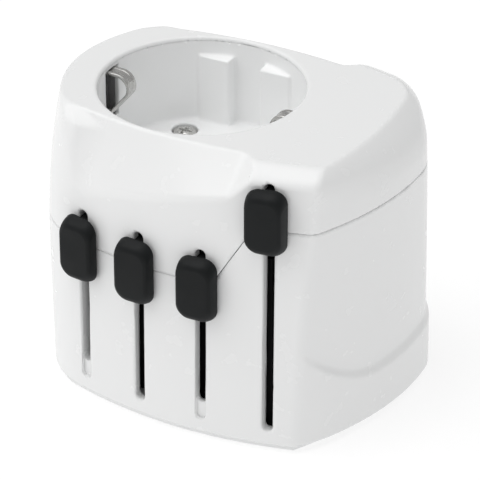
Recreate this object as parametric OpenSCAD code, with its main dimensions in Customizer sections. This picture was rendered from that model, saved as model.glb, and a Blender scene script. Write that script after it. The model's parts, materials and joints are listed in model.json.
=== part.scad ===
// Travel adapter: a case with an earthed round socket on top and four sliding plugs underneath.
// +Z is up, -Y is the side with the sliders, and the origin lies on the bottom of the base plate,
// under the middle of the socket. Heights written as depths are measured down from the top face.

/* [Case] */
// Height from the base plate's underside to the top face
total_h = 58.8; // [58.4:0.1:59.2]
// Height of the case's lower rim over the base plate's underside
rim_lift = 1.5; // [1.3:0.1:1.7]
// Wall thickness of the two shells
wall = 2; // [1.8:0.1:2.2]
// Depth below the top face of the seam under the overhanging end
seam_high = 11.8; // [11.4:0.1:12.2]
// Depth below the top face of the seam around the other end
seam_low = 25.3; // [25:0.1:25.6]

/* [Socket] */
// Radius of the round recess
recess_r = 19.5; // [19.4:0.05:19.6]
// Depth of the round recess
recess_depth = 17.5; // [17.3:0.1:17.7]
// Distance between the two pin holes
pin_spacing = 19; // [18.9:0.1:19.1]
// Radius of a pin hole
pin_hole_r = 2.7; // [2.6:0.05:2.8]

/* [Sliders] */
// Distance between neighbouring slots
slot_pitch = 13; // [12.9:0.05:13.1]
// Width of a slot
slot_w = 2.3; // [2.2:0.1:2.5]
// Width of a slider knob
knob_w = 7.8; // [7.6:0.1:8.2]
// Height of a slider knob
knob_h = 13.2; // [12.8:0.1:13.4]
// Thickness of a slider knob
knob_t = 2.7; // [2.5:0.1:3.2]

/* [Pins] */
// Reach of the round European pins below the base when out
eu_reach = 19; // [18:0.5:19]
// Reach of the slanted Australian blades below the base when out
aus_reach = 17; // [16:0.5:18]
// Reach of the American blades below the base when out
us_reach = 17.5; // [16.5:0.5:18]
// Reach of the British line and neutral pins below the base when out
uk_reach = 17.7; // [17.2:0.1:18]
// Reach of the British earth pin below the base when out
uk_earth_reach = 22.7; // [22.3:0.1:22.7]

/* [Hidden] */
$fn = 64;

// Outline of the case
mid_x = 8.5;            // x of the middle of the front and back faces
case_h = total_h - rim_lift;
shoulder = 8.7;         // depth at which the rounding of the overhanging end runs out
front_shoulder = 3.2;   // depth at which the rounding of the front and back runs out
left_shoulder = 32;     // depth at which the bulge of the other end is widest
waist = 14;             // depth below which the walls drift as straight lines to the foot
right_at = [37, 5.3, -1.2];         // reach to the right at the top, swell, and drift to the foot
left_at = [26.3, 3.4, -0.6];        // the same for the reach to the left
front_at = [22.6, 3.85, 0.55];      // the same for the reach to the front and to the back
right_bend = [0.0068, 0.0055, 0.001];  // bend of the right face at the top, and what is added
left_bend = 0.02;
front_bend = 1 / 160;
right_shift = 4.5;      // how far the right face's nose has moved to the back at the foot
front_low = front_at[0] + front_at[1] + front_at[2];
levels = [0, 1, front_shoulder, 6, shoulder, waist, 24, left_shoulder, case_h];
plate_inset = [1.2, wall + 0.25];  // how far the base plate's rim and its raised part are drawn in

// Socket, in heights over the base plate's underside
floor_z = total_h - recess_depth;
insert_t = 2;
insert_top = total_h - 3.5;
insert_r = recess_r + 1.5;
insert_low = floor_z - insert_t;
carrier_low = insert_low - 2.5;
rib_face = 16.4;        // distance of a key rib's face from the socket's axis
sleeve_r = 3.3;
sleeve_low = 21;
screw_spot = [-10.2, 11.5];
clip_w = 3;
metal_t = 0.6;
clip_back = 21.4;       // distance of an earth clip's flat back from the socket's axis
clip_nose = [17, -4.5]; // middle of the clip's round nose, from the axis and down from the top
clip_nose_r = 2.6;
slit_high = 1.1;        // depths of the two ends of the slit for an earth clip
slit_deep = 12;
pocket_x = [20.2, 24];  // where the pocket behind an earth clip begins and ends
pocket_half = 6.5;      // half the pocket's width

// Base and guides
plate_t = 3;
bus_t = 0.8;
slot_x = [for (i = [0:3]) (i - 1) * slot_pitch + 1];
slot_top = [total_h - 18.3, total_h - 18.3, total_h - 18.3, total_h - 2.4];
slot_low = [total_h - 51.2, total_h - 54.4, total_h - 51.2, total_h - 54.4];
comb_x = [-14.2, 29.4];
comb_y = -20.8;
comb_t = 1.2;
comb_top = insert_low - 0.3;
upright_y = -19.3;
neck_w = 1.7;
neck_h = 6.2;
stop_z = plate_t + 1.2;  // where a carriage stands when its plug is out
low_rest = 28.4;         // underside of the first three carriages at rest
high_rest = 31.6;        // underside of the fourth carriage at rest
carriage_t = 4;
knob_gap = 0.3;          // least gap between a knob and the face it slides over
knob_back = [for (x = slot_x) slide_face(x)];
knob_top = [39.6, 39.6, 39.6, 56];
knob_turn = [for (x = slot_x) atan(2 * front_bend * (x - mid_x)) / 2]; // half the face's turn
clear = 0.35;            // gap around a pin in the base plate

eu_at = [-14, -5];
aus_at = [-1.6, 16.4];
us_at = [14, -4];
uk_at = [24, 8.7];
aus_half = 6.86;
us_half = 6.35;
uk_half = 11.1;
fuse_at = [27, 17];
screw_posts = [[-19.5, 13], [33.1, -10.9], [16, 19.5]];
post_ribs = [[180, 5], [0, 3.6], [90, 5.6]];  // direction and length of each post's rib
post_r = 2.5;
post_h = 14;

// Where the inner face of a knob runs, just clear of the bulging front of the case
function slide_face(x) = pow(x - mid_x, 2) * front_bend - front_low - knob_gap;

// ---- Case outline ----

// How far the rounding of the top has run out at depth d, from 0 to 1
function run_out(d, span) = 1 - pow(1 - min(d / span, 1), 2);

// Distance from the middle to a face that bends as a parabola, seen along direction (c, s)
function reach(a, b, c, s) = 2 * a / (c + sqrt(c * c + 4 * b * s * s * a) + 1e-6);

// Distance of the outline from its middle at angle t, depth d and inset
function edge_r(t, d, inset) =
    let (
        g = run_out(d, shoulder),
        w = max(0, (d - waist) / (case_h - waist)),
        c = cos(t),
        s = sin(t),
        shift = right_shift * w,
        bend = right_bend * [1, g, w],
        right = right_at * [1, g, w] - inset - mid_x - bend * shift * shift,
        left = left_at * [1, run_out(d, left_shoulder), w] - inset + mid_x,
        front = front_at * [1, run_out(d, front_shoulder), w] - inset,
        to_right = reach(right, bend * s * s / max(s * s, 1e-6), c - 2 * bend * s * shift, s),
        to_left = reach(left, left_bend, -c, s),
        to_front = reach(front, front_bend, abs(s), c),
        power = 16  // the higher, the sharper the corners between the faces
    )
    pow(pow(to_right, -power) + pow(to_left, -power) + pow(to_front, -power), -1 / power);

function outline(d, inset = 0, n = 60) =
    [for (i = [0:n - 1])
        let (t = 360 * (i + 0.5) / n, r = edge_r(t, d, inset))
        [mid_x + r * cos(t), r * sin(t)]];

// The case's full form, drawn in by inset, cut off at a depth from the top and carried on below
module case_form(inset = 0, from = 0, below = 0) {
    hull()
        for (d = levels)
            translate([0, 0, total_h - max(d, from) - (d == case_h ? below : 0.01)])
                linear_extrude(0.01)
                    polygon(outline(max(d, from), inset));
}

// Sloping scoop in the front or back of the top, ending in a step at the overhanging end
module scoop(side) {
    slope = [[-22, 19.6, -0.4], [20.2, 20.2, -0.4], [-22, 27.6, 18], [20.2, 27.2, 9]];
    hull()
        for (p = slope, out = [0, 14])
            translate([p[0], side * (p[1] + out), total_h - p[2]])
                cube(0.02, center = true);
}

// Everything under the stepped seam, as a slab through the whole depth
module under_seam(gap = 0) {
    translate([0, 60, 0])
        rotate([90, 0, 0])
            linear_extrude(120)
                polygon([
                    [-60, -5],
                    [-60, total_h - seam_low - gap],
                    [16, total_h - seam_low - gap],
                    [24.2, total_h - seam_high - gap],
                    [70, total_h - seam_high - gap],
                    [70, -5]
                ]);
}

// Long opening with round ends for the neck of slider i
module slot_cut(i) {
    x = slot_x[i];
    for (z = [slot_low[i] + slot_w / 2, slot_top[i] - slot_w / 2])
        translate([x, -15, z])
            rotate([90, 0, 0])
                cylinder(r = slot_w / 2, h = 30);
    translate([x - slot_w / 2, -45, slot_low[i] + slot_w / 2])
        cube([slot_w, 30, slot_top[i] - slot_low[i] - slot_w]);
}

// Slit in the recess wall that an earth clip springs through
module clip_slit(side) {
    translate([side > 0 ? 18 : -24, -clip_w / 2 - 0.4, total_h - slit_deep])
        cube([6, clip_w + 0.8, slit_deep - slit_high]);
}

// ---- Case ----

module upper_shell() {
    color("white")
    difference() {
        case_form();
        scoop(1);
        scoop(-1);
        under_seam();
        // the recess, its chamfer and the seat of the insert
        translate([0, 0, insert_top - 1])
            cylinder(r = recess_r, h = 10);
        translate([0, 0, total_h - 0.4])
            cylinder(r1 = recess_r, r2 = recess_r + 0.5, h = 0.5);
        translate([0, 0, 0])
            cylinder(r = insert_r + 0.05, h = insert_top);
        // hollow under the overhanging end and beside the socket
        intersection() {
            case_form(wall, wall);
            union() {
                translate([23.4, -40, 20])
                    cube([30, 80, 40]);
                translate([-40, -40, 20])
                    cube([80, 80, insert_low - 20]);
            }
        }
        for (side = [-1, 1]) {
            clip_slit(side);
            mirror([side < 0 ? 1 : 0, 0, 0])
                translate([pocket_x[0], -pocket_half, insert_low - 1])
                    cube([pocket_x[1] - pocket_x[0], 2 * pocket_half,
                          total_h - wall - insert_low + 0.4]);
        }
        for (i = [0:3])
            slot_cut(i);
    }
}

module lower_shell() {
    color("white") {
        difference() {
            intersection() {
                case_form();
                under_seam(0.1);
            }
            case_form(wall, wall, 1);
            for (i = [0:3])
                slot_cut(i);
        }
        for (i = [0:2])
            screw_post(screw_posts[i], post_ribs[i]);
    }
}

// Post for a base screw, tied to the nearest wall by a rib
module screw_post(place, rib) {
    translate([place[0], place[1], plate_t + 0.1])
        difference() {
            union() {
                cylinder(r = post_r, h = post_h);
                rotate(rib[0])
                    translate([0, -0.8, 0])
                        cube([rib[1], 1.6, post_h]);
            }
            translate([0, 0, -1])
                cylinder(r = 1.55, h = post_h - 1);
        }
}

module base_plate() {
    color("white")
    difference() {
        union() {
            linear_extrude(rim_lift)
                polygon(outline(case_h, plate_inset[0]));
            linear_extrude(plate_t)
                polygon(outline(case_h, plate_inset[1]));
        }
        pin_openings();
        translate([fuse_at[0], fuse_at[1], -1]) {
            cylinder(r = 4.2, h = 10);
            cylinder(r = 5.3, h = 2.4);
        }
        for (p = screw_posts)
            translate([p[0], p[1], -1]) {
                cylinder(r = 1.6, h = 10);
                cylinder(r = 2.9, h = 2.2);
            }
    }
}

// Openings in the base plate, one for each pin
module pin_openings() {
    translate([0, 0, -1])
        linear_extrude(plate_t + 2) {
            for (y = [-1, 1])
                translate([eu_at[0], eu_at[1] + y * 9.5])
                    circle(r = 2 + clear);
            translate([eu_at[0] - 5, eu_at[1]])
                circle(r = 2 + clear);
            for (x = [-1, 1]) {
                translate([aus_at[0] + x * aus_half, aus_at[1]])
                    rotate(-30 * x)
                        square([1.6 + 2 * clear, 6.35 + 2 * clear], center = true);
                translate([us_at[0] + x * us_half, us_at[1]])
                    square([1.5 + 2 * clear, 6.35 + 2 * clear], center = true);
                translate([uk_at[0] + x * uk_half, uk_at[1]])
                    square([6.35 + 2 * clear, 4 + 2 * clear], center = true);
            }
            translate([aus_at[0], aus_at[1] - 14.3])
                square([1.6 + 2 * clear, 6.35 + 2 * clear], center = true);
            translate([us_at[0], us_at[1] - 11.9])
                circle(r = 2.4 + clear);
            translate([uk_at[0], uk_at[1] - 22.2])
                square([4 + 2 * clear, 8 + 2 * clear], center = true);
        }
}

module base_screws() {
    color("silver")
    for (p = screw_posts)
        translate([p[0], p[1], 0.2])
            screw(2.7, 1, 11);
}

// Cross-head screw standing head down: the head's radius and thickness, and the length
module screw(head_r, head_t, length) {
    difference() {
        union() {
            cylinder(r = head_r, h = head_t);
            cylinder(r = 1.5, h = length);
        }
        for (a = [0, 90])
            rotate(a)
                translate([-1.5, -0.3, -1])
                    cube([3, 0.6, 1.7]);
    }
}

// ---- Socket ----

module socket_insert() {
    color("white")
    difference() {
        union() {
            difference() {
                translate([0, 0, insert_low])
                    cylinder(r = insert_r, h = insert_top - insert_low);
                translate([0, 0, floor_z])
                    cylinder(r = recess_r, h = 30);
            }
            for (x = [-1, 1], y = [-1, 1])
                key_rib(x, y);
        }
        for (y = [-1, 1])
            translate([0, y * pin_spacing / 2, 0])
                cylinder(r = pin_hole_r, h = total_h);
        for (s = [-1, 1])
            translate([s * screw_spot[0], s * screw_spot[1], 0]) {
                cylinder(r = 1.6, h = total_h);
                translate([0, 0, floor_z - 1.1])
                    cylinder(r = 2.9, h = 8);
            }
        for (s = [-1, 1])
            clip_slit(s);
    }
}

// One of the four ribs that key the plug in the recess
module key_rib(x, y) {
    intersection() {
        translate([x * 6.65 - 3.35, y > 0 ? rib_face : -rib_face - 5, floor_z - 0.5])
            cube([6.7, 5, insert_top - floor_z + 0.5]);
        cylinder(r = recess_r + 0.5, h = total_h);
    }
}

module socket_screws() {
    color("silver")
    for (s = [-1, 1])
        translate([s * screw_spot[0], s * screw_spot[1], floor_z - 0.1])
            rotate([180, 0, 0])
                screw(2.7, 1, 5.5);
}

// Middle line of the band of an earth clip: a level leg, a round nose and a long slope back out
clip_path = concat(
    [[clip_back + 0.1, clip_nose[1] + clip_nose_r]],
    [for (a = [90:15:225]) clip_nose + clip_nose_r * [cos(a), sin(a)]],
    [[19.8, -11], [clip_back + 0.1, -11.3]]
);

// Direction square to a path at its point i
function square_to(path, i) =
    let (step = path[min(i + 1, len(path) - 1)] - path[max(i - 1, 0)])
    [-step[1], step[0]] / norm(step);

// Outline of a band of thickness t along a path
function band(path, t) = concat(
    [for (i = [0:len(path) - 1]) path[i] + square_to(path, i) * t / 2],
    [for (i = [len(path) - 1:-1:0]) path[i] - square_to(path, i) * t / 2]
);

// Earth contact: a D-shaped band that bulges into the recess, on a flat back
module earth_clip(side) {
    color("silver")
    mirror([side < 0 ? 1 : 0, 0, 0]) {
        translate([0, clip_w / 2, total_h])
            rotate([90, 0, 0])
                linear_extrude(clip_w)
                    polygon(band(clip_path, metal_t));
        translate([clip_back, -clip_w / 2, insert_low + 0.4])
            cube([metal_t, clip_w, total_h - insert_low - 1.9]);
    }
}

module earth_clip_left() {
    earth_clip(-1);
}

module earth_clip_right() {
    earth_clip(1);
}

// Black carrier under the socket floor that holds the two contacts
module contact_carrier() {
    turn = atan2(screw_spot[1], screw_spot[0]);
    color("dimgray")
    translate([0, 0, carrier_low])
        difference() {
            union() {
                cylinder(r = 13.5, h = insert_low - carrier_low);
                rotate(turn)
                    translate([-15.4, -3, 0])
                        cube([30.8, 6, insert_low - carrier_low]);
                for (s = [-1, 1])
                    translate([s * screw_spot[0], s * screw_spot[1], 0])
                        cylinder(r = 3, h = insert_low - carrier_low);
            }
            for (y = [-1, 1])
                translate([0, y * pin_spacing / 2, -1])
                    cylinder(r = sleeve_r + 0.02, h = 10);
            for (s = [-1, 1])
                translate([s * screw_spot[0], s * screw_spot[1], -1])
                    cylinder(r = 1.55, h = 10);
        }
}

// Sprung sleeve that grips a plug's pin, with a leg down to the bus bar
module contact(side) {
    color("gold")
    translate([0, side * pin_spacing / 2, 0]) {
        difference() {
            translate([0, 0, sleeve_low])
                cylinder(r = sleeve_r, h = insert_low - sleeve_low);
            translate([0, 0, sleeve_low - 1])
                cylinder(r = sleeve_r - 0.35, h = 30);
            translate([-0.5, -5, sleeve_low - 1])
                cube([1, 10, 13]);
        }
        for (x = [-1, 1])
            translate([x * 2.6 - 0.4, -1.5, plate_t + bus_t])
                cube([0.8, 3, sleeve_low - plate_t - bus_t + 1]);
    }
}

module line_contact() {
    contact(-1);
}

module neutral_contact() {
    contact(1);
}

module earth_strap() {
    color("silver")
    translate([0, 0, carrier_low - bus_t]) {
        translate([-22.8, -2, 0])
            cube([44.3, 4, bus_t]);
        translate([-22.8, -2, 0])
            cube([metal_t, 10, insert_low - carrier_low]);
        translate([20.9, -2, 0])
            cube([metal_t, 4, insert_low - carrier_low]);
    }
}

// ---- Wiring in the base ----

module line_bus() {
    color("gold")
    translate([0, 0, plate_t]) {
        translate([-15, -10.4, 0])
            cube([35, 1.8, bus_t]);
        translate([20, -10.4, 0])
            cube([0.8, 1.8, bus_t + 3]);
    }
}

module neutral_bus() {
    color("gold")
    translate([0, 0, plate_t]) {
        translate([-4, 11.3, 0])
            cube([17, 1.2, bus_t]);
        translate([-3.4, 8.6, 0])
            cube([6.8, 3, bus_t]);
    }
}

module earth_bus() {
    color("silver") {
        translate([-22.8, 6.8, plate_t])
            cube([31.4, 1.2, bus_t]);
        translate([-22.8, 6.8, plate_t])
            cube([metal_t, 1.2, carrier_low - bus_t - plate_t]);
    }
}

module fuse() {
    color("ivory")
    translate([fuse_at[0], fuse_at[1], 2.6]) {
        cylinder(r = 2.9, h = 20);
        cylinder(r = 3.15, h = 4.5);
        translate([0, 0, 15.5])
            cylinder(r = 3.15, h = 4.5);
    }
}

// Sprung cup on the fuse's upper end, with its leg
module fuse_contact() {
    color("gold")
    translate([fuse_at[0], fuse_at[1], 0]) {
        difference() {
            translate([0, 0, 18.6])
                cylinder(r = 3.8, h = 4.6);
            translate([0, 0, 17.6])
                cylinder(r = 3.3, h = 5);
        }
        translate([-1.5, -4.2, plate_t])
            cube([3, metal_t, 20.2]);
    }
}

// Round screw cap on the underside that holds the fuse
module fuse_cap() {
    color("dimgray")
    translate([fuse_at[0], fuse_at[1], 0.2])
        difference() {
            union() {
                cylinder(r = 5.2, h = 1.1);
                cylinder(r = 4.1, h = 2.4);
            }
            translate([-4, -0.6, -1])
                cube([8, 1.2, 1.8]);
        }
}

// ---- Guides ----

module guide_comb() {
    color("dimgray")
    difference() {
        translate([comb_x[0], comb_y, plate_t])
            cube([comb_x[1] - comb_x[0], comb_t, comb_top - plate_t]);
        for (x = slot_x)
            translate([x - neck_w / 2 - 0.25, comb_y - 1, plate_t + 3])
                cube([neck_w + 0.5, comb_t + 2, 60]);
    }
}

module detent_springs() {
    color("silver")
    for (i = [0:3])
        translate([slot_x[i] + (i < 3 ? 3.2 : -6.2), comb_y - 0.3, 18])
            difference() {
                cube([3.2, 0.3, 16]);
                translate([0.8, -1, 3])
                    cube([1.6, 3, 8]);
            }
}

// ---- Sliders ----

// Everything outside the surface that the inner face of slider i's knob follows
module outside_face(i) {
    reach_x = knob_w / 2 + 1;
    linear_extrude(total_h + 1)
        polygon(concat(
            [for (k = [-6:6]) let (x = slot_x[i] + reach_x * k / 6) [x, slide_face(x)]],
            [[slot_x[i] + reach_x, -45], [slot_x[i] - reach_x, -45]]
        ));
}

// Soft pad with rounded corners, a bevelled face and a back shaped to the case, for slider i
module knob(i) {
    r = 2.6;
    bevel = [0.5, 1.5];
    spare = 1.4;
    color("black")
    intersection() {
        translate([slot_x[i], knob_back[i], knob_top[i] - knob_h / 2])
            rotate(knob_turn[i])
                translate([0, spare, 0])
                    rotate([90, 0, 0])
                        hull()
                            for (x = [-1, 1], z = [-1, 1])
                                translate([x * (knob_w / 2 - r), z * (knob_h / 2 - r), 0]) {
                                    cylinder(r = r, h = knob_t + spare - 0.8, $fn = 32);
                                    translate([-x * bevel[0], -z * bevel[1], 0])
                                        cylinder(r = r, h = knob_t + spare, $fn = 32);
                                }
        outside_face(i);
    }
}

// Neck through the slot and upright behind the comb, for slider i
module neck(i, low, wide, deep) {
    x = slot_x[i];
    top = knob_top[i] - 0.8;
    difference() {
        translate([x - neck_w / 2, knob_back[i] - 0.5, top - neck_h])
            cube([neck_w, upright_y - knob_back[i] + 1.5, neck_h]);
        outside_face(i);
    }
    translate([wide[0], upright_y, low])
        cube([wide[1] - wide[0], deep, top - low]);
}

module eu_knob() {
    knob(0);
}

module eu_carriage() {
    color("dimgray") {
        neck(0, low_rest, [-14.2, -10.8], 4);
        translate([-16.8, -17.6, low_rest])
            cube([5.6, 25.4, carriage_t]);
        translate([-21.6, -7.8, low_rest])
            cube([6, 5.6, carriage_t]);
    }
}

// Round pin with a rounded tip, hanging from height z
module round_pin(r, length, z) {
    translate([0, 0, z - length + r])
        cylinder(r = r, h = length - r);
    translate([0, 0, z - length + r])
        intersection() {
            sphere(r = r);
            translate([-r, -r, -r])
                cube([2 * r, 2 * r, r]);
        }
}

// Flat blade hanging from height z
module blade(wide, thick, length, z) {
    translate([-thick / 2, -wide / 2, z - length])
        cube([thick, wide, length]);
}

module eu_pins() {
    color("silver")
    for (y = [-1, 1])
        translate([eu_at[0], eu_at[1] + y * 9.5, 0])
            round_pin(2, eu_reach + stop_z, low_rest);
}

module eu_earth_pin() {
    color("silver")
    translate([eu_at[0] - 5, eu_at[1], 0])
        round_pin(2, eu_reach + stop_z, low_rest);
}

module aus_knob() {
    knob(1);
}

module aus_carriage() {
    color("dimgray") {
        neck(1, low_rest, [-1.5, 3.5], 4);
        translate([0, 0, low_rest])
            linear_extrude(carriage_t) {
                translate([-9.6, upright_y])
                    square([14.2, 5.2]);
                translate([-9.6, -16])
                    square([5.2, 36]);
                translate([-9.6, -1.2])
                    square([9.8, 6.6]);
                for (x = [-1, 1])
                    translate([aus_at[0] + x * 7.6 - 3.5, aus_at[1] - 3.6])
                        square([7, 7.5]);
                translate([aus_at[0] - 11.1, aus_at[1] - 2.2])
                    square([22.2, 6.1]);
            }
    }
}

module aus_blades() {
    color("silver")
    for (x = [-1, 1])
        translate([aus_at[0] + x * aus_half, aus_at[1], 0])
            rotate(-30 * x)
                blade(6.35, 1.6, aus_reach + stop_z, low_rest);
}

module aus_earth_blade() {
    color("silver")
    translate([aus_at[0], aus_at[1] - 14.3, 0])
        blade(6.35, 1.6, aus_reach + stop_z + 3, low_rest);
}

module us_knob() {
    knob(2);
}

module us_carriage() {
    color("dimgray") {
        neck(2, low_rest, [11.5, 16.5], 3.6);
        translate([6.4, -7.8, low_rest])
            cube([15, 7.6, carriage_t]);
        translate([10.8, upright_y, low_rest])
            cube([6.4, 14, carriage_t]);
    }
}

module us_blades() {
    color("gold")
    for (x = [-1, 1])
        translate([us_at[0] + x * us_half, us_at[1], 0])
            blade(6.35, 1.5, us_reach + stop_z, low_rest);
}

module us_ground_pin() {
    color("gold")
    translate([us_at[0], us_at[1] - 11.9, 0])
        round_pin(2.4, us_reach + stop_z + 2.5, low_rest);
}

module uk_knob() {
    knob(3);
}

module uk_carriage() {
    color("dimgray") {
        neck(3, high_rest, [24, 30], 5);
        translate([21.9, upright_y, high_rest])
            cube([8.3, 30.7, carriage_t]);
        translate([9.4, 6, high_rest])
            cube([28.6, 5.4, carriage_t]);
    }
}

module uk_pins() {
    color("gold")
    for (x = [-1, 1])
        translate([uk_at[0] + x * uk_half, uk_at[1], 0])
            blade(4, 6.35, uk_reach + stop_z, high_rest);
}

module uk_earth_pin() {
    color("gold")
    translate([uk_at[0], uk_at[1] - 22.2, 0])
        blade(8, 4, uk_earth_reach + stop_z, high_rest);
}

upper_shell();
lower_shell();
base_plate();
socket_insert();
socket_screws();
earth_clip_left();
earth_clip_right();
earth_strap();
contact_carrier();
line_contact();
neutral_contact();
line_bus();
neutral_bus();
earth_bus();
guide_comb();
detent_springs();
fuse();
fuse_contact();
fuse_cap();
base_screws();
eu_knob();
eu_carriage();
eu_pins();
eu_earth_pin();
aus_knob();
aus_carriage();
aus_blades();
aus_earth_blade();
us_knob();
us_carriage();
us_blades();
us_ground_pin();
uk_knob();
uk_carriage();
uk_pins();
uk_earth_pin();
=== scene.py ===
"""Travel adapter: the visible pieces, materials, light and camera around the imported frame.

Shapes are written as fields in millimetres: a field is negative inside the shape and positive
outside, and close to the distance from its surface. surface_net() turns a field into a mesh.
"""

import json
import math

import bpy
import numpy as np
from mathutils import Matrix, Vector


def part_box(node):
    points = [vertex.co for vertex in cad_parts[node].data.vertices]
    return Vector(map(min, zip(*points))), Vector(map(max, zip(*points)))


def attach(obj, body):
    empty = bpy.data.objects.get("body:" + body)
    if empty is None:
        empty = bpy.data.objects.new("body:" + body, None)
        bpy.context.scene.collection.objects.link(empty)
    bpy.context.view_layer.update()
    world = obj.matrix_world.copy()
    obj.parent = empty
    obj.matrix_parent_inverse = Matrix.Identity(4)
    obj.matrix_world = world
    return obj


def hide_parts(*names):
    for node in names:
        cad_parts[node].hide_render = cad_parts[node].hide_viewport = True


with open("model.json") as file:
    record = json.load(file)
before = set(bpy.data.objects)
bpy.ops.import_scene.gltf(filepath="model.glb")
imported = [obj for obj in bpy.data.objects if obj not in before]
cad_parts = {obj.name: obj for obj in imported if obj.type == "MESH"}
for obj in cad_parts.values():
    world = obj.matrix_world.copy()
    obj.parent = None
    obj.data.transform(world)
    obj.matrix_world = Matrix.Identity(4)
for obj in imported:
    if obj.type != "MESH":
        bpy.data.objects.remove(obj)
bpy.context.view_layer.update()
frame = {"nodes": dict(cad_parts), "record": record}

MM = 0.001
FIELD_EPS = 0.02  # half step of a field's numeric gradient


def node_box(name):
    """Lowest and highest corner of a CAD node, in millimetres."""
    low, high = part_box(name)
    return np.array(low) / MM, np.array(high) / MM


def node_middle(name):
    low, high = node_box(name)
    return (low + high) / 2


# ---- Sizes, in millimetres, from the frame ----

SHELL_LOW, SHELL_HIGH = node_box("upper_shell")
LOWER_LOW, LOWER_HIGH = node_box("lower_shell")
INSERT_LOW, INSERT_HIGH = node_box("socket_insert")
PLATE_LOW, PLATE_HIGH = node_box("base_plate")

# The case. A depth is a distance below the top, and a reach is a distance from the middle.
TOP = SHELL_HIGH[2]
RIM_Z = LOWER_LOW[2]
CASE_H = TOP - RIM_Z
WALL = 2.0
MID_X = 8.5               # x of the middle of the front and back faces
SHOULDER = 8.7            # depth at which the rounding of the overhanging end runs out
FRONT_SHOULDER = 3.2      # depth at which the rounding of the front and back runs out
LEFT_SHOULDER = 32.0      # depth at which the bulge of the other end is widest
WAIST = 14.0              # depth below which the walls drift as straight lines to the foot
RIGHT_AT = (37.0, 4.9, -0.8)       # reach to the right at the top, swell, and drift to the foot
RIGHT_BEND = (0.0068, 0.00255)     # bend of the right face at the top, and what is added
RIGHT_SHIFT = (4.7, 2.7, 38.0)     # shift of its nose to the back, further shift, and its span
LEFT_AT = (26.3, 3.4, -0.6)        # the same for the reach to the left
LEFT_BEND = 0.02
FRONT_AT = (22.6, 3.85)            # reach to the front at the top, and swell
FRONT_LOW = -LOWER_LOW[1]          # reach to the front at the foot
FRONT_DRIFT = FRONT_LOW - sum(FRONT_AT)
FRONT_BEND = 1 / 160
FRONT_CORNER_R = 0.8               # rounding of the corner between the front and the right face
BACK_CORNER_R = (4.6, 6.0, -3.7)   # the same at the back: at the top, swell, drift to the foot
LEFT_CORNER_R = 2.6
TOP_EDGE_R = 0.4
SCOOP_EDGE_R = 0.5
THICK_CORNER = 24.2       # distance of the thick inner corner by the first slot from the axis
SKIRT_OUT = 0.8           # how far the skirt stands out at the foot of the overhanging end
SKIRT_Z = TOP - 46.0      # height at which the skirt's ledge begins, where it is lowest
SKIRT_LEDGE = 2.2         # height of the ledge
SKIRT_X = (31.5, 36.5)    # x where the skirt begins to come up and has come up
SEAM_LOW = SHELL_LOW[2]   # height of the seam around the socket's end
SEAM_HIGH = TOP - 11.8    # height of the seam under the overhanging end
SEAM_RAMP = (16.0, 24.2)  # x where the ramp between the two begins and ends
SEAM_GAP = 0.09
EDGE_R = 0.2              # rounding of the moulded edges
SLOT_EDGE = 0.16          # rounding of the slots' rims
SCREW_POSTS = [(-19.5, 13.0, 180, 5.0), (33.1, -10.9, 0, 3.6), (16.0, 19.5, 90, 5.6)]
POST_R, POST_BORE_R, POST_H = 2.5, 1.55, 14.0

# The socket
INSERT_R = INSERT_HIGH[0]
RECESS_R = INSERT_R - 1.5
INSERT_TOP = INSERT_HIGH[2]
LIP_Z = TOP - 0.8         # top of the cup's thin lip behind the rim of the bore
LIP_T = 0.65
FLOOR_Z = INSERT_LOW[2] + 2
PIN_HOLE_Y = 9.5
PIN_HOLE_R = 2.7
SCREW_X, SCREW_Y = -10.2, 11.5
SHANK_R = 1.5
SOCKET_HEAD = (2.3, 0.7)  # radius and thickness of a socket screw's head
BASE_HEAD = (2.7, 1.0)    # the same of a base screw's head
CLIP_W = 3.0
CLIP_METAL = 0.6
CLIP_BACK = node_box("earth_clip_right")[1][0] - CLIP_METAL / 2
CLIP_NOSE = (17.8, TOP - 4.5)  # middle of the band's bend, out from the axis and up
CLIP_NOSE_R = 2.6
SLIT_HALF = 2.3
SLIT_DEPTHS = (1.5, 12.0)
POCKET_X = (20.2, 24.0)
POCKET_HALF = 6.5

# The sliders

PLUGS = ["eu", "aus", "us", "uk"]
SLOT_X = [-12, 1, 14, 27]
KNOB_TOP = [node_box(plug + "_knob")[1][2] for plug in PLUGS]
KNOB_W, KNOB_H, KNOB_T = 7.8, 13.2, 2.7
KNOB_ROUND = 2.6          # rounding of a knob's corners, seen from the front
KNOB_SLANT = (0.55, 1.5)  # how far its sides and its ends draw in towards its front
KNOB_GAP = 0.3            # least gap between a knob and the face it slides over
SLOT_W = 2.1
SLOT_TOP = [top + (0.9 if i < 3 else 0.4) for i, top in enumerate(KNOB_TOP)]
SLOT_BOTTOM = [TOP - 51.2, TOP - 54.4, TOP - 51.2, TOP - 54.4]
GROOVE_BOTTOM = TOP - 54.6  # where the shallow groove under the first and third slot ends
GROOVE_DEPTH = 0.8

# The base and the pins
EU_PIN, AUS_AT, US_AT, UK_AT = (-14, -5), (-1.6, 16.4), (14, -4), (24, 8.7)
EU_HALF, AUS_HALF, US_HALF, UK_HALF = 9.5, 6.86, 6.35, 11.1  # half the spacing of two pins
EU_EARTH, AUS_EARTH, US_EARTH, UK_EARTH = 5, 14.3, 11.9, 22.2  # distance of the earth pin
EU_R, US_GROUND_R = 2.0, 2.4
AUS_BLADE, US_BLADE, UK_BLADE, UK_EARTH_BLADE = (1.6, 6.35), (1.5, 6.35), (6.35, 4), (4, 8)
AUS_TURN = 30             # degrees by which the slanted blades are turned
BLADE_EDGE, UK_EDGE = 0.25, 0.3    # rounding of the blades' edges
BLADE_TAPER, UK_TAPER = 1.6, 2.4   # length over which the blades draw in to their tips
SLEEVE_FROM = 9           # length of bare metal below a sleeve
FUSE_AT = node_middle("fuse")[:2]
FUSE_HOLE_R, FUSE_SEAT_R = 4.2, 5.3
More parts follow.
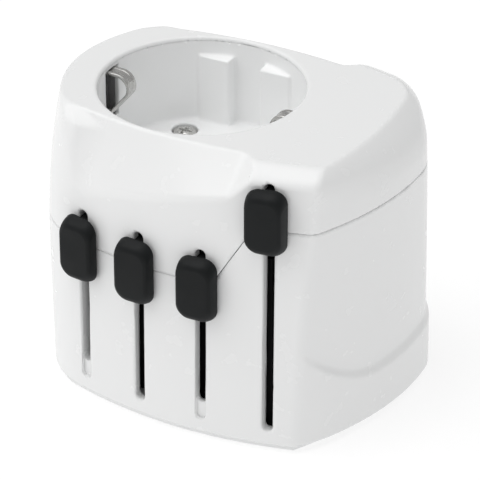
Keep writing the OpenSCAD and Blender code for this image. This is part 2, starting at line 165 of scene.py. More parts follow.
PIN_GAP = 0.35


# ---- Fields ----

def fillet_max(a, b, r):
    """Field of what lies inside both, with its outer edge rounded to radius r."""
    corner = np.hypot(np.maximum(a + r, 0), np.maximum(b + r, 0))
    return np.minimum(np.maximum(a, b), -r) + corner


def fillet_min(a, b, r):
    """Field of what lies inside either, with its inner edge filled to radius r."""
    return -fillet_max(-a, -b, r)


def smooth_step(t):
    t = np.clip(t, 0, 1)
    return t * t * (3 - 2 * t)


def box_field(point, low, high):
    """Field of a box."""
    distances = [np.maximum(lo - p, p - hi) for p, lo, hi in zip(point, low, high)]
    return np.maximum(np.maximum(distances[0], distances[1]), distances[2])


def cylinder_field(x, y, z, centre, r, low, high, edge=0.0):
    """Field of an upright cylinder with its rims rounded."""
    side = np.hypot(x - centre[0], y - centre[1]) - r
    ends = np.maximum(low - z, z - high)
    return fillet_max(side, ends, edge) if edge else np.maximum(side, ends)


def capsule_2d(u, v, low, high, r):
    """Field in a plane of an upright slot with round ends between v = low and v = high."""
    return np.hypot(u, v - np.clip(v, low + r, high - r)) - r


def turned(x, y, centre, degrees):
    """Coordinates about a centre, along and across a direction."""
    u, v = x - centre[0], y - centre[1]
    c, s = math.cos(math.radians(degrees)), math.sin(math.radians(degrees))
    return u * c + v * s, v * c - u * s


def run_out(depth, span):
    """How far a rounding has run out at a depth, from 0 to 1."""
    return 1 - (1 - np.clip(depth / span, 0, 1)) ** 2


def bowed(along, across, reach, bend, middle):
    """Field of what lies behind a face at reach that bends back as a parabola."""
    off = across - middle
    return (along - reach + bend * off ** 2) / np.sqrt(1 + (2 * bend * off) ** 2)


def front_reach(depth):
    """Distance of the front face from the middle plane, at the middle of the face."""
    sag = np.clip((depth - WAIST) / (CASE_H - WAIST), 0, 1)
    return FRONT_AT[0] + FRONT_AT[1] * run_out(depth, FRONT_SHOULDER) + FRONT_DRIFT * sag


def case_side(x, y, z):
    """Field of the case's walls, without its top and bottom."""
    depth = np.clip(TOP - z, 0, CASE_H)
    swell = run_out(depth, SHOULDER)
    sag = np.clip((depth - WAIST) / (CASE_H - WAIST), 0, 1)
    right_x = RIGHT_AT[0] + RIGHT_AT[1] * swell + RIGHT_AT[2] * sag
    right_bend = RIGHT_BEND[0] + RIGHT_BEND[1] * swell ** 2
    nose_y = RIGHT_SHIFT[0] * swell ** 2
    nose_y = nose_y + RIGHT_SHIFT[1] * run_out(depth - SHOULDER, RIGHT_SHIFT[2])
    right = bowed(x, y, right_x, right_bend, nose_y)
    left_x = LEFT_AT[0] + LEFT_AT[1] * run_out(depth, LEFT_SHOULDER) + LEFT_AT[2] * sag
    left = bowed(-x, y, left_x, LEFT_BEND, 0)
    front = bowed(np.abs(y), x, front_reach(depth), FRONT_BEND, MID_X)
    below = np.clip((depth - SHOULDER) / (CASE_H - SHOULDER), 0, 1)
    back_r = BACK_CORNER_R[0] + BACK_CORNER_R[1] * swell + BACK_CORNER_R[2] * below
    corner_r = np.where(y < 0, FRONT_CORNER_R, back_r)
    return fillet_max(fillet_max(right, front, corner_r), left, LEFT_CORNER_R)


def case_inner(x, y, z):
    """Field of the space inside the walls, which are thicker in the corner by the first slot."""
    corner = -0.5 * x - 0.866 * y - THICK_CORNER
    return fillet_max(case_side(x, y, z) + WALL, corner, 1.5)


def scoop(x, y, z, side):
    """Field that is positive in the sloping scoop cut into the front and back of the top.

    The scoop's face runs from edge_y at the top down to the wall at low_depth. It fades out
    to the left, and ends in a small slanted step to the right.
    """
    depth = TOP - z
    edge_y = 20.7 - (x - 5) ** 2 / 180
    low_depth = np.clip(11.1 - 0.24 * x, 3, 17)
    low_y = front_reach(low_depth) - FRONT_BEND * (x - MID_X) ** 2
    run = low_y - edge_y
    past = np.abs(y) - edge_y - run * depth / low_depth
    face = past * low_depth / np.hypot(run, low_depth)
    fade = (0.55 * (x + 19 - 0.33 * depth) + side) / 1.15
    step = (19.6 + 1.1 * np.clip(past, 0, 3) - x) / 1.4
    return fillet_min(fillet_min(face, step, 0.7), fade, 1.5)


def case_outer(x, y, z):
    """Field of the case's whole outer form."""
    side = case_side(x, y, z)
    side = fillet_max(side, scoop(x, y, z, side), SCOOP_EDGE_R)
    return fillet_max(side, z - TOP, TOP_EDGE_R)


def skirt(x, y, z):
    """How far the raised skirt at the foot of the overhanging end has come up, 0 to 1."""
    bend = np.where(y < -5, 0.03, 0.003)
    ledge_z = SKIRT_Z + bend * (y + 5) ** 2
    across = (x - SKIRT_X[0]) / (SKIRT_X[1] - SKIRT_X[0])
    return smooth_step((ledge_z - z) / SKIRT_LEDGE) * smooth_step(across)


def above_seam(x, z):
    """Distance above the stepped seam between the two shells."""
    rise, run = SEAM_HIGH - SEAM_LOW, SEAM_RAMP[1] - SEAM_RAMP[0]
    ramp = ((z - SEAM_LOW) * run - (x - SEAM_RAMP[0]) * rise) / math.hypot(rise, run)
    return fillet_min(z - SEAM_LOW, -fillet_min(-ramp, SEAM_HIGH - z, 2.0), 1.5)


def slots(x, y, z, skin):
    """Field of the four slots and of the shallow grooves under two of them."""
    cut = np.full_like(skin, 1e3)
    for i, mid in enumerate(SLOT_X):
        through = capsule_2d(x - mid, z, SLOT_BOTTOM[i], SLOT_TOP[i], SLOT_W / 2)
        cut = np.minimum(cut, through)
        if i % 2 == 0:
            shallow = capsule_2d(x - mid, z, GROOVE_BOTTOM, SLOT_TOP[i], SLOT_W / 2)
            cut = np.minimum(cut, np.maximum(shallow, -GROOVE_DEPTH - skin))
    return np.maximum(cut, y + 15)


def clip_pocket(x, y, z):
    """Field of the two slits for the earth clips and of the pockets behind them."""
    a = np.abs(x)
    slit = box_field((a, y, z), (18, -SLIT_HALF, TOP - SLIT_DEPTHS[1]),
                     (POCKET_X[1], SLIT_HALF, TOP - SLIT_DEPTHS[0]))
    pocket = box_field((a, y, z), (POCKET_X[0], -POCKET_HALF, INSERT_LOW[2] - 1),
                       (POCKET_X[1], POCKET_HALF, TOP - WALL - 0.6))
    return np.minimum(slit, pocket)


def upper_shell_field(x, y, z):
    skin = case_outer(x, y, z)
    solid = fillet_max(skin, SEAM_GAP / 2 - above_seam(x, z), EDGE_R)
    bore = np.hypot(x, y) - RECESS_R
    solid = fillet_max(solid, -np.maximum(bore, INSERT_TOP - 1 - z), 0.6)
    seat = cylinder_field(x, y, z, (0, 0), INSERT_R + 0.05, -1, INSERT_TOP)
    lip_seat = cylinder_field(x, y, z, (0, 0), RECESS_R + LIP_T + 0.05, -1, LIP_Z)
    seat = np.minimum(seat, lip_seat)
    inner = np.maximum(case_inner(x, y, z), z - TOP + WALL)
    hollow = np.maximum(inner, np.minimum(23.4 - x, z - INSERT_LOW[2]))
    cut = np.minimum(np.minimum(seat, hollow), clip_pocket(x, y, z))
    solid = np.maximum(solid, -cut)
    return fillet_max(solid, -slots(x, y, z, skin), SLOT_EDGE)


def lower_shell_field(x, y, z):
    skin = case_outer(x, y, z) - SKIRT_OUT * skirt(x, y, z)
    solid = fillet_max(skin, SEAM_GAP / 2 + above_seam(x, z), EDGE_R)
    solid = fillet_max(solid, RIM_Z - z, 0.5)
    solid = np.maximum(solid, -case_inner(x, y, z))
    solid = fillet_max(solid, -slots(x, y, z, skin), SLOT_EDGE)
    return np.minimum(solid, screw_posts(x, y, z))


def screw_posts(x, y, z):
    """Field of the posts that take the base screws, each tied to the wall by a rib."""
    low = PLATE_HIGH[2] + 0.1
    high = low + POST_H
    field = np.full_like(x, 1e3)
    for px, py, turn, length in SCREW_POSTS:
        along, across = turned(x, y, (px, py), turn)
        post = cylinder_field(x, y, z, (px, py), POST_R, low, high, 0.3)
        rib = box_field((along, across, z), (0, -0.8, low), (length, 0.8, high))
        bore = cylinder_field(x, y, z, (px, py), POST_BORE_R, low - 5, high - 2)
        field = np.minimum(field, np.maximum(fillet_min(post, rib, 0.5), -bore))
    return field


def socket_insert_field(x, y, z):
    """Field of the socket's cup: wall and lip, floor, key ribs, pin holes and screw wells."""
    r = np.hypot(x, y)
    cup = np.maximum(np.maximum(r - INSERT_R, INSERT_LOW[2] - z), z - INSERT_TOP)
    lip = np.maximum(np.maximum(r - RECESS_R - LIP_T, FLOOR_Z - z), z - LIP_Z)
    cup = np.minimum(cup, lip)
    well = fillet_max(r - RECESS_R, FLOOR_Z - z, 0.6)
    rib_u = np.abs(np.abs(x) - 6.65) - 3.35
    ribs = fillet_max(fillet_max(rib_u, 16.4 - np.abs(y), 0.6), z - INSERT_TOP + 0.1, 0.35)
    solid = np.maximum(cup, -fillet_max(well, -ribs, 0.5))
    for side in (-1, 1):
        hole = np.hypot(x, y - side * PIN_HOLE_Y) - PIN_HOLE_R
        solid = fillet_max(solid, -hole, 0.4)
        place = (side * SCREW_X, side * SCREW_Y)
        seat = cylinder_field(x, y, z, place, 2.55, FLOOR_Z - 1.5, TOP)
        solid = fillet_max(solid, -seat, 0.3)
        solid = np.maximum(solid, -cylinder_field(x, y, z, place, 1.6, 0, TOP))
    return fillet_max(solid, -clip_pocket(x, y, z), 0.2)


# ---- Meshing ----

def gradient(field, points):
    """Numeric gradient of a field at an (n, 3) array of points."""
    result = np.empty_like(points)
    for k in range(3):
        step = np.zeros(3)
        step[k] = FIELD_EPS
        ahead, behind = (points + step).T, (points - step).T
        result[:, k] = (field(*ahead) - field(*behind)) / (2 * FIELD_EPS)
    return result


def sample(field, axes):
    """Field values on a grid, worked out in slabs to spare memory."""
    slabs = []
    for start in range(0, len(axes[0]), 24):
        grid = np.meshgrid(axes[0][start:start + 24], axes[1], axes[2], indexing="ij")
        slabs.append(field(*grid))
    return np.concatenate(slabs)


def edge_crossings(values, axes, step):
    """Crossed grid edges: their points, the four cells round each, and which way they face."""
    inside = values < 0
    points, cells = [], []
    for axis in range(3):
        near = [slice(None)] * 3
        far = [slice(None)] * 3
        near[axis], far[axis] = slice(None, -1), slice(1, None)
        crossed = inside[tuple(near)] != inside[tuple(far)]
        start = np.argwhere(crossed)
        v0 = values[tuple(near)][crossed]
        v1 = values[tuple(far)][crossed]
        point = np.stack([axes[k][start[:, k]] for k in range(3)], 1)
        point[:, axis] += step * v0 / (v0 - v1)
        u, w = (axis + 1) % 3, (axis + 2) % 3
        ring = np.repeat(start[:, None, :], 4, 1)
        ring[:, (0, 3), u] -= 1
        ring[:, (0, 1), w] -= 1
        flip = v0 >= 0
        ring[flip] = ring[flip][:, ::-1]
        points.append(point)
        cells.append(ring)
    return np.concatenate(points), np.concatenate(cells)


def feature_points(points, normals, owner, count, pull=0.06):
    """Point of each cell that lies nearest all its surface planes, so that edges stay crisp."""
    n = np.repeat(normals, 4, 0)
    p = np.repeat(points, 4, 0)
    offset = np.einsum("ij,ij->i", n, p)
    total = np.bincount(owner, minlength=count)
    mean = np.stack([np.bincount(owner, p[:, k], count) for k in range(3)], 1) / total[:, None]
    left = np.empty((count, 3, 3))
    right = np.empty((count, 3))
    for i in range(3):
        for j in range(i, 3):
            left[:, i, j] = left[:, j, i] = np.bincount(owner, n[:, i] * n[:, j], count) / total
        right[:, i] = np.bincount(owner, n[:, i] * offset, count) / total
    left += pull * np.eye(3)
    right += pull * mean
    return np.linalg.solve(left, right[:, :, None])[:, :, 0], mean


def surface_net(name, field, low, high, step):
    """Mesh object of the surface where the field is 0, with the field's own normals."""
    axes = [np.arange(a - 2 * step, b + 3 * step, step) for a, b in zip(low, high)]
    points, ring = edge_crossings(sample(field, axes), axes, step)
    shape = [len(axis) for axis in axes]
    flat = np.ravel_multi_index(ring.reshape(-1, 3).T, shape)
    used, owner = np.unique(flat, return_inverse=True)
    normals = gradient(field, points)
    normals /= np.linalg.norm(normals, axis=1, keepdims=True) + 1e-9
    corners, mean = feature_points(points, normals, owner, len(used))
    corners = mean + np.clip(corners - mean, -step, step)
    for _ in range(3):
        slope = gradient(field, corners)
        size = np.maximum(np.einsum("ij,ij->i", slope, slope), 0.05)
        move = slope * (field(*corners.T) / size)[:, None]
        corners = corners - np.clip(move, -step / 2, step / 2)
    return mesh_object(name, corners, owner.reshape(-1, 4), gradient(field, corners))


def mesh_object(name, corners, faces, normals):
    """Object from corners in millimetres, faces and a normal for each corner."""
    mesh = bpy.data.meshes.new(name)
    mesh.from_pydata(corners * MM, [], faces.tolist())
    mesh.validate()
    mesh.polygons.foreach_set("use_smooth", np.ones(len(mesh.polygons), bool))
    normals = normals / (np.linalg.norm(normals, axis=1, keepdims=True) + 1e-9)
    mesh.normals_split_custom_set_from_vertices(normals)
    obj = bpy.data.objects.new(name, mesh)
    bpy.context.scene.collection.objects.link(obj)
    return obj


def piece(name, field, low, high, step, node, body, material):
    """A meshed piece that stands for a CAD node and rides on its body."""
    obj = surface_net(name, field, low, high, step)
    obj.data.materials.append(material)
    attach(obj, body)
    if node:
        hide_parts(node)
    return obj


# ---- Materials ----

def new_material(name):
    """A node material with its Principled shader and object coordinates."""
    material = bpy.data.materials.new(name)
    material.use_nodes = True
    tree = material.node_tree
    shader = next(n for n in tree.nodes if n.type == "BSDF_PRINCIPLED")
    place = tree.nodes.new("ShaderNodeTexCoord")
    return material, tree, shader, place.outputs["Object"]


def noise(tree, place, scale, detail=3.0, stretch=None):
    """A noise texture's factor, its scale in cycles a metre, stretched along an axis if asked."""
    if stretch:
        mapping = tree.nodes.new("ShaderNodeMapping")
        mapping.inputs["Scale"].default_value = stretch
        tree.links.new(place, mapping.inputs["Vector"])
        place = mapping.outputs["Vector"]
    texture = tree.nodes.new("ShaderNodeTexNoise")
    texture.inputs["Scale"].default_value = scale
    texture.inputs["Detail"].default_value = detail
    tree.links.new(place, texture.inputs["Vector"])
    return texture.outputs["Fac"]


def between(tree, factor, low, high):
    """A factor spread over a range of values."""
    spread = tree.nodes.new("ShaderNodeMapRange")
    spread.inputs["From Min"].default_value = 0.3
    spread.inputs["From Max"].default_value = 0.7
    spread.inputs["To Min"].default_value = low
    spread.inputs["To Max"].default_value = high
    tree.links.new(factor, spread.inputs["Value"])
    return spread.outputs["Result"]


def tint(tree, factor, dark, light):
    """A colour between two, by a factor."""
    ramp = tree.nodes.new("ShaderNodeValToRGB")
    ramp.color_ramp.elements[0].position = 0.3
    ramp.color_ramp.elements[1].position = 0.7
    ramp.color_ramp.elements[0].color = (*dark, 1)
    ramp.color_ramp.elements[1].color = (*light, 1)
    tree.links.new(factor, ramp.inputs["Fac"])
    return ramp.outputs["Color"]


def add_bump(tree, shader, factor, height):
    """Bumps of a height in metres on the shader's normal."""
    bump = tree.nodes.new("ShaderNodeBump")
    bump.inputs["Strength"].default_value = 1.0
    bump.inputs["Distance"].default_value = height
    tree.links.new(factor, bump.inputs["Height"])
    tree.links.new(bump.outputs["Normal"], shader.inputs["Normal"])


def moulded_plastic(name, dark, light, rough, grain=0, height=0, specular=0.5):
    """Moulded plastic: faint clouding, uneven gloss and, if it has a height, a fine grain."""
    material, tree, shader, place = new_material(name)
    cloud = noise(tree, place, 60, 2)
    tree.links.new(tint(tree, cloud, dark, light), shader.inputs["Base Color"])
    gloss = noise(tree, place, 240, 4)
    tree.links.new(between(tree, gloss, *rough), shader.inputs["Roughness"])
    shader.inputs["Specular IOR Level"].default_value = specular
    if height:
        add_bump(tree, shader, noise(tree, place, grain, 4), height)
    return material


def plated_metal(name, dark, light, rough, stretch):
    """Plated metal with fine drawn lines and faint staining."""
    material, tree, shader, place = new_material(name)
    stain = noise(tree, place, 300, 3)
    tree.links.new(tint(tree, stain, dark, light), shader.inputs["Base Color"])
    shader.inputs["Metallic"].default_value = 1.0
    lines = noise(tree, place, 900, 5, stretch)
    tree.links.new(between(tree, lines, *rough), shader.inputs["Roughness"])
    add_bump(tree, shader, lines, 0.000004)
    return material


def make_materials():
    """One material for each of the record's slots."""
    white = ((0.872, 0.876, 0.876), (0.876, 0.880, 0.879))
    # The socket cup's white is lighter than the shell's white: painted light that brightens the
    # shade inside the recess.
    painted_fill_white = ((0.945, 0.950, 0.950), (0.949, 0.954, 0.953))
    return {
        "white_shell": moulded_plastic("white_shell", *white, (0.265, 0.275)),
        "white_insert": moulded_plastic("white_insert", *painted_fill_white, (0.28, 0.30)),
        "white_base": moulded_plastic("white_base", *white, (0.34, 0.44), 3500, 0.000006),
        "soft_black": moulded_plastic("soft_black", (0.0045, 0.0055, 0.006),
                                      (0.0065, 0.008, 0.0085), (0.48, 0.58), 5200, 0.000008, 0.2),
        "black_frame": moulded_plastic("black_frame", (0.006, 0.006, 0.0065),
                                       (0.010, 0.010, 0.011), (0.5, 0.65), 4200, 0.00001, 0.3),
        "clip_metal": plated_metal("clip_metal", (0.50, 0.50, 0.49), (0.66, 0.65, 0.63),
                                   (0.16, 0.30), (1, 8, 1)),
        "screw_steel": plated_metal("screw_steel", (0.52, 0.52, 0.51), (0.68, 0.67, 0.65),
                                    (0.2, 0.36), (1, 1, 6)),
        "spring_steel": plated_metal("spring_steel", (0.42, 0.43, 0.45), (0.56, 0.57, 0.59),
                                     (0.22, 0.36), (1, 1, 8)),
        "brass_contact": plated_metal("brass_contact", (0.62, 0.43, 0.16), (0.78, 0.58, 0.27),
                                      (0.22, 0.38), (1, 1, 8)),
        "plug_nickel": plated_metal("plug_nickel", (0.58, 0.57, 0.54), (0.72, 0.71, 0.67),
                                    (0.14, 0.26), (8, 8, 1)),
        "fuse_ceramic": moulded_plastic("fuse_ceramic", (0.74, 0.70, 0.60), (0.80, 0.77, 0.68),
                                        (0.12, 0.2), 900, 0.000004),
    }


# ---- Pieces ----

def make_shells(materials):
    piece("upper_shell_skin", upper_shell_field, SHELL_LOW, SHELL_HIGH, 0.42,
          "upper_shell", "case", materials["white_shell"])
    piece("lower_shell_skin", lower_shell_field, LOWER_LOW - 1, LOWER_HIGH + 1, 0.46,
          "lower_shell", "case", materials["white_shell"])
    cup_high = (INSERT_HIGH[0], INSERT_HIGH[1], LIP_Z)
    piece("socket_cup", socket_insert_field, INSERT_LOW, cup_high, 0.36,
          "socket_insert", "case", materials["white_insert"])


def knob_field(i):
    """Field of a slider's soft pad: rounded corners, bevelled front, back shaped to the case."""
    mid_x, mid_z = SLOT_X[i], KNOB_TOP[i] - KNOB_H / 2
    face_y = FRONT_BEND * (mid_x - MID_X) ** 2 - FRONT_LOW - KNOB_GAP
    turn = math.atan(2 * FRONT_BEND * (mid_x - MID_X)) / 2

    def field(x, y, z):
        across = (x - mid_x) * math.cos(turn) + (y - face_y) * math.sin(turn)
        out = (x - mid_x) * math.sin(turn) - (y - face_y) * math.cos(turn)
        far = np.clip(out / KNOB_T, 0, 1.2)
        bend = 0.35 * far + 0.65 * far ** 3
        qx = np.abs(across) - KNOB_W / 2 + KNOB_ROUND + KNOB_SLANT[0] * bend
        qz = np.abs(z - mid_z) - KNOB_H / 2 + KNOB_ROUND + KNOB_SLANT[1] * bend
        side = np.hypot(np.maximum(qx, 0), np.maximum(qz, 0)) + np.minimum(np.maximum(qx, qz), 0)
        crown = 0.1 * (across / KNOB_W * 2) ** 2 + 0.12 * ((z - mid_z) / KNOB_H * 2) ** 2
        pad = fillet_max(side - KNOB_ROUND, out - KNOB_T + crown, 0.5)
        back = y - FRONT_BEND * (x - MID_X) ** 2 + FRONT_LOW + KNOB_GAP
        return fillet_max(pad, back, 0.3)

    return field


def make_knobs(materials):
    for i, plug in enumerate(PLUGS):
        low, high = node_box(plug + "_knob")
        piece(plug + "_knob_pad", knob_field(i), low, high, 0.2,
              plug + "_knob", plug + "_plug", materials["soft_black"])


def clip_paths():
    """Middle lines of an earth clip's band and of its flat back, out from the axis and up."""
    nose = [(CLIP_NOSE[0] + CLIP_NOSE_R * math.cos(math.radians(a)),
             CLIP_NOSE[1] + CLIP_NOSE_R * math.sin(math.radians(a))) for a in range(90, 226, 9)]
    band = [(CLIP_BACK, nose[0][1]), *nose, (19.8, TOP - 11.0), (CLIP_BACK, TOP - 11.3)]
    back = [(CLIP_BACK, INSERT_LOW[2] + 0.7), (CLIP_BACK, TOP - 1.8)]
    return band, back


def to_path(u, v, path):
    """Distance in a plane from a path of straight runs."""
    nearest = np.full_like(u, 1e3)
    for (u0, v0), (u1, v1) in zip(path, path[1:]):
        run_u, run_v = u1 - u0, v1 - v0
        along = ((u - u0) * run_u + (v - v0) * run_v) / (run_u ** 2 + run_v ** 2)
        along = np.clip(along, 0, 1)
        nearest = np.minimum(nearest, np.hypot(u - u0 - along * run_u, v - v0 - along * run_v))
    return nearest


def earth_clip_field(side):
    """Field of the sprung D of an earth clip, with a pressed groove along its band."""
    band, back = clip_paths()

    def field(x, y, z):
        u = side * x
        groove = 0.11 * smooth_step((0.85 - np.abs(y)) / 0.4)
        ring = to_path(u, z, band) - CLIP_METAL / 2 + groove
        spine = to_path(u, z, back) - CLIP_METAL / 2
        strip = fillet_min(ring, spine, 0.4)
        return fillet_max(strip, np.abs(y) - CLIP_W / 2, 0.15)

    return field


def make_clips(materials):
    for name, side in (("left", -1), ("right", 1)):
        node = "earth_clip_" + name
        low, high = node_box(node)
        piece("earth_spring_" + name, earth_clip_field(side), low, high, 0.14,
              node, node, materials["clip_metal"])


def screw_field(spots, head_z, way, head, length):
    """Field of cross-head screws whose heads face up (way 1) or down (way -1) from head_z."""
    head_r, head_t = head

    def field(x, y, z):
        result = np.full_like(x, 1e3)
        down = (head_z - z) * way
        for px, py in spots:
            r = np.hypot(x - px, y - py)
            dome = down - 0.35 * (r / head_r) ** 2
            cap = fillet_max(fillet_max(r - head_r, -dome, 0.22), down - head_t, 0.12)
            shank = fillet_max(r - SHANK_R, np.maximum(-down, down - length), 0.3)
            screw = np.minimum(cap, shank)
            arms = 0.34 - 0.25 * np.clip(down, 0, 0.8)
            bar_x = np.maximum(np.abs(x - px) - 1.45 + 0.7 * down, np.abs(y - py) - arms)
            bar_y = np.maximum(np.abs(y - py) - 1.45 + 0.7 * down, np.abs(x - px) - arms)
            cross = np.maximum(fillet_min(bar_x, bar_y, 0.25), down - 0.62)
            result = np.minimum(result, fillet_max(screw, -cross, 0.08))
        return result

    return field


def make_screws(materials):
    low, high = node_box("socket_screws")
    spots = [(side * SCREW_X, side * SCREW_Y) for side in (-1, 1)]
    field = screw_field(spots, high[2], 1, SOCKET_HEAD, high[2] - low[2])
    piece("socket_screw_pair", field, low, high, 0.14,
          "socket_screws", "case", materials["screw_steel"])
    low, high = node_box("base_screws")
    for k, post in enumerate(SCREW_POSTS):
        px, py = post[:2]
        field = screw_field([(px, py)], low[2], -1, BASE_HEAD, high[2] - low[2])
        piece(f"base_screw_{k + 1}", field,
              (px - 3, py - 3, low[2]), (px + 3, py + 3, high[2]), 0.14,
              "base_screws", "case", materials["screw_steel"])


# ---- Base ----

def slab(u, v, size):
    """Field in a plane of a rectangle about the middle."""
    return np.maximum(np.abs(u) - size[0] / 2, np.abs(v) - size[1] / 2)


def with_gap(blade):
    """Size of the opening for a blade."""
    return blade[0] + 2 * PIN_GAP, blade[1] + 2 * PIN_GAP


def pin_openings(x, y):
    """Field in the base plate's plane of the openings for all the pins."""
    eu_x, eu_y = x - EU_PIN[0], y - EU_PIN[1]
    us_x, us_y = x - US_AT[0], y - US_AT[1]
    uk_x, uk_y = x - UK_AT[0], y - UK_AT[1]
    aus_earth_y = y - AUS_AT[1] + AUS_EARTH
    parts = [np.hypot(eu_x, np.abs(eu_y) - EU_HALF) - EU_R - PIN_GAP,
             np.hypot(eu_x + EU_EARTH, eu_y) - EU_R - PIN_GAP,
             slab(x - AUS_AT[0], aus_earth_y, with_gap(AUS_BLADE)),
             slab(np.abs(us_x) - US_HALF, us_y, with_gap(US_BLADE)),
             np.hypot(us_x, us_y + US_EARTH) - US_GROUND_R - PIN_GAP,
             slab(np.abs(uk_x) - UK_HALF, uk_y, with_gap(UK_BLADE)),
             slab(uk_x, uk_y + UK_EARTH, with_gap(UK_EARTH_BLADE))]
    for side in (-1, 1):
        u, v = turned(x, y, (AUS_AT[0] + side * AUS_HALF, AUS_AT[1]), -AUS_TURN * side)
        parts.append(slab(u, v, with_gap(AUS_BLADE)))
    return np.minimum.reduce(parts)


def base_plate_field(x, y, z):
    """Field of the base plate: its flange, its raised middle, and all its openings."""
    rim = case_side(x, y, np.full_like(z, RIM_Z))
    flange = fillet_max(rim + 1.2, np.maximum(-z, z - RIM_Z), 0.4)
    plug = fillet_max(rim + WALL + 0.25, np.maximum(-z, z - PLATE_HIGH[2]), 0.3)
    plate = np.minimum(flange, plug)
    plate = fillet_max(plate, -pin_openings(x, y), 0.35)
    fuse_r = np.hypot(x - FUSE_AT[0], y - FUSE_AT[1])
    fuse_hole = np.minimum(fuse_r - FUSE_HOLE_R, np.maximum(fuse_r - FUSE_SEAT_R, z - 1.4))
    plate = fillet_max(plate, -fuse_hole, 0.2)
    for post in SCREW_POSTS:
        r = np.hypot(x - post[0], y - post[1])
        plate = fillet_max(plate, -np.minimum(r - 1.6, np.maximum(r - 2.9, z - 1.2)), 0.2)
    return plate


def fuse_cap_field(x, y, z):
    """Field of the fuse's screw cap, with a coin slot and a knurled neck."""
    u, v = x - FUSE_AT[0], y - FUSE_AT[1]
    r = np.hypot(u, v)
    knurl = 0.12 * np.cos(24 * np.arctan2(v, u))
    head = fillet_max(r - 5.15, np.maximum(0.2 - z, z - 1.3), 0.3)
    neck = fillet_max(r - 4.0 - knurl, np.maximum(0.2 - z, z - 2.6), 0.15)
    slot = np.maximum(np.hypot(np.maximum(np.abs(u) - 3.4, 0), v) - 0.6, z - 1.0)
    return fillet_max(np.minimum(head, neck), -slot, 0.2)


def make_base(materials):
    piece("base_cover", base_plate_field, PLATE_LOW, PLATE_HIGH, 0.34,
          "base_plate", "case", materials["white_base"])
    low, high = node_box("fuse_cap")
    piece("fuse_cover", fuse_cap_field, low, high, 0.2,
          "fuse_cap", "case", materials["black_frame"])


# ---- Pins ----

def round_pins(spots, r, low, high):
    """Field of round pins with domed tips."""
    def field(x, y, z):
        parts = []
        for px, py in spots:
            side = np.hypot(x - px, y - py)
            tip = np.hypot(side, np.minimum(z - low - r, 0)) - r
            parts.append(fillet_max(np.maximum(tip, side - r), z - high, 0.15))
        return np.minimum.reduce(parts)

    return field


def flat_blades(spots, size, low, high, edge=BLADE_EDGE, taper=BLADE_TAPER):
    """Field of flat blades or bars, chamfered towards their tips: spots are x, y, turn."""
    wide, deep = size

    def field(x, y, z):
        parts = []
        near_tip = 0.32 * np.clip(low + taper - z, 0, taper)
        for px, py, turn in spots:
            u, v = turned(x, y, (px, py), turn)
            sides = fillet_max(np.abs(u) - wide / 2 + near_tip * min(1, wide / 3),
                               np.abs(v) - deep / 2 + near_tip, edge)
            parts.append(fillet_max(sides, np.maximum(low - z, z - high), edge))
        return np.minimum.reduce(parts)

    return field


def sleeve(field, low, high):
    """Field of a thin insulating sleeve over the upper part of a pin."""
    def wrapped(x, y, z):
        return fillet_max(field(x, y, z) - 0.05, np.maximum(low - z, z - high), 0.04)

    return wrapped


def make_pin_set(node, plug, field, sleeve_from, materials):
    """The metal of a set of pins and, above sleeve_from over their tips, the black sleeves."""
    low, high = node_box(node)
    piece(node + "_metal", field, low, high, 0.24,
          node, plug, materials["plug_nickel"])
    if sleeve_from:
        sleeve_low = low.copy()
        sleeve_low[2] += sleeve_from
        piece(node + "_sleeves", sleeve(field, sleeve_low[2], high[2] - 0.2), sleeve_low - 0.2,
              high + 0.2, 0.24, None, plug, materials["black_frame"])


def ends(node):
    """Lowest and highest z of a CAD node."""
    low, high = node_box(node)
    return low[2], high[2]


def make_eu_pins(materials):
    spots = [(EU_PIN[0], EU_PIN[1] + side * EU_HALF) for side in (-1, 1)]
    field = round_pins(spots, EU_R, *ends("eu_pins"))
    make_pin_set("eu_pins", "eu_plug", field, SLEEVE_FROM, materials)
    field = round_pins([(EU_PIN[0] - EU_EARTH, EU_PIN[1])], EU_R, *ends("eu_earth_pin"))
    make_pin_set("eu_earth_pin", "eu_plug", field, 0, materials)


def make_aus_blades(materials):
    spots = [(AUS_AT[0] + side * AUS_HALF, AUS_AT[1], -AUS_TURN * side) for side in (-1, 1)]
    field = flat_blades(spots, AUS_BLADE, *ends("aus_blades"))
    make_pin_set("aus_blades", "aus_plug", field, SLEEVE_FROM, materials)
    spots = [(AUS_AT[0], AUS_AT[1] - AUS_EARTH, 0)]
    field = flat_blades(spots, AUS_BLADE, *ends("aus_earth_blade"))
    make_pin_set("aus_earth_blade", "aus_plug", field, 0, materials)


def make_us_pins(materials):
    spots = [(US_AT[0] + side * US_HALF, US_AT[1], 0) for side in (-1, 1)]
    field = flat_blades(spots, US_BLADE, *ends("us_blades"))
    make_pin_set("us_blades", "us_plug", field, 0, materials)
    field = round_pins([(US_AT[0], US_AT[1] - US_EARTH)], US_GROUND_R, *ends("us_ground_pin"))
    make_pin_set("us_ground_pin", "us_plug", field, 0, materials)


def make_uk_pins(materials):
    spots = [(UK_AT[0] + side * UK_HALF, UK_AT[1], 0) for side in (-1, 1)]
    field = flat_blades(spots, UK_BLADE, *ends("uk_pins"), UK_EDGE, UK_TAPER)
    make_pin_set("uk_pins", "uk_plug", field, SLEEVE_FROM, materials)
    spots = [(UK_AT[0], UK_AT[1] - UK_EARTH, 0)]
    field = flat_blades(spots, UK_EARTH_BLADE, *ends("uk_earth_pin"), UK_EDGE, UK_TAPER)
    make_pin_set("uk_earth_pin", "uk_plug", field, 0, materials)


def dress_cad_nodes(materials):
    """Gives every CAD node that stays in sight the material of its slot."""
    for part in frame["record"]["subparts"]:
        obj = frame["nodes"][part["node"]]
        material = materials[part["material_slot"]]
        if not obj.material_slots:
            obj.data.materials.append(material)
        for slot in obj.material_slots:
            slot.material = material


# ---- Stage ----

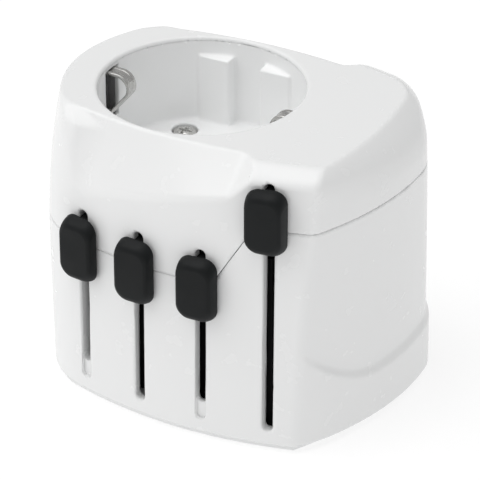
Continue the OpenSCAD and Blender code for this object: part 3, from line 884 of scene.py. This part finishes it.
def add_floor():
    mesh = bpy.data.meshes.new("floor")
    size = 6.0
    low = -0.00005  # just under the base, so that the two do not meet
    corners = [(-size, -size, low), (size, -size, low), (size, size, low), (-size, size, low)]
    mesh.from_pydata(corners, [], [(0, 1, 2, 3)])
    floor = bpy.data.objects.new("floor", mesh)
    bpy.context.scene.collection.objects.link(floor)
    material, tree, shader, place = new_material("floor_white")
    cloud = noise(tree, place, 3, 2)
    tree.links.new(tint(tree, cloud, (0.40, 0.40, 0.40), (0.41, 0.41, 0.41)),
                   shader.inputs["Base Color"])
    shader.inputs["Roughness"].default_value = 0.9
    shader.inputs["Specular IOR Level"].default_value = 0.1
    shader.inputs["Emission Color"].default_value = (1, 1, 1, 1)
    shader.inputs["Emission Strength"].default_value = 0.66
    mesh.materials.append(material)


def add_world(strength):
    world = bpy.data.worlds.new("studio")
    bpy.context.scene.world = world
    world.use_nodes = True
    background = next(n for n in world.node_tree.nodes if n.type == "BACKGROUND")
    background.inputs["Color"].default_value = (1, 1, 1, 1)
    background.inputs["Strength"].default_value = strength


def add_softbox(name, place, size, power):
    """A square area light that looks at the object."""
    light = bpy.data.lights.new(name, "AREA")
    light.size = size
    light.energy = power
    lamp = bpy.data.objects.new(name, light)
    bpy.context.scene.collection.objects.link(lamp)
    lamp.location = place
    aim = Vector((0.008, 0, 0.03)) - lamp.location
    lamp.rotation_euler = aim.to_track_quat("-Z", "Y").to_euler()


def add_camera():
    """Long-lens camera above the object, turned towards its overhanging end."""
    azimuth, elevation = math.radians(28.29), math.radians(30.12)
    distance = 0.6242
    target = Vector((8.04, 0, 27.5)) * MM
    back = Vector((math.sin(azimuth) * math.cos(elevation),
                   -math.cos(azimuth) * math.cos(elevation),
                   math.sin(elevation)))
    data = bpy.data.cameras.new("camera")
    data.sensor_width = 36
    data.lens = 246.75
    data.clip_start = 0.01
    camera = bpy.data.objects.new("camera", data)
    bpy.context.scene.collection.objects.link(camera)
    camera.location = target + back * distance
    camera.rotation_euler = (-back).to_track_quat("-Z", "Y").to_euler()
    bpy.context.scene.camera = camera


add_camera()
materials = make_materials()
dress_cad_nodes(materials)
make_shells(materials)
make_knobs(materials)
make_clips(materials)
make_screws(materials)
make_base(materials)
make_eu_pins(materials)
make_aus_blades(materials)
make_us_pins(materials)
make_uk_pins(materials)
add_floor()
add_world(0.44)
add_softbox("key", (-0.55, -0.43, 1.22), 1.6, 11.5)
add_softbox("overhead", (0.22, -0.06, 1.38), 1.0, 3.2)
bpy.context.scene.view_settings.view_transform = "Standard"
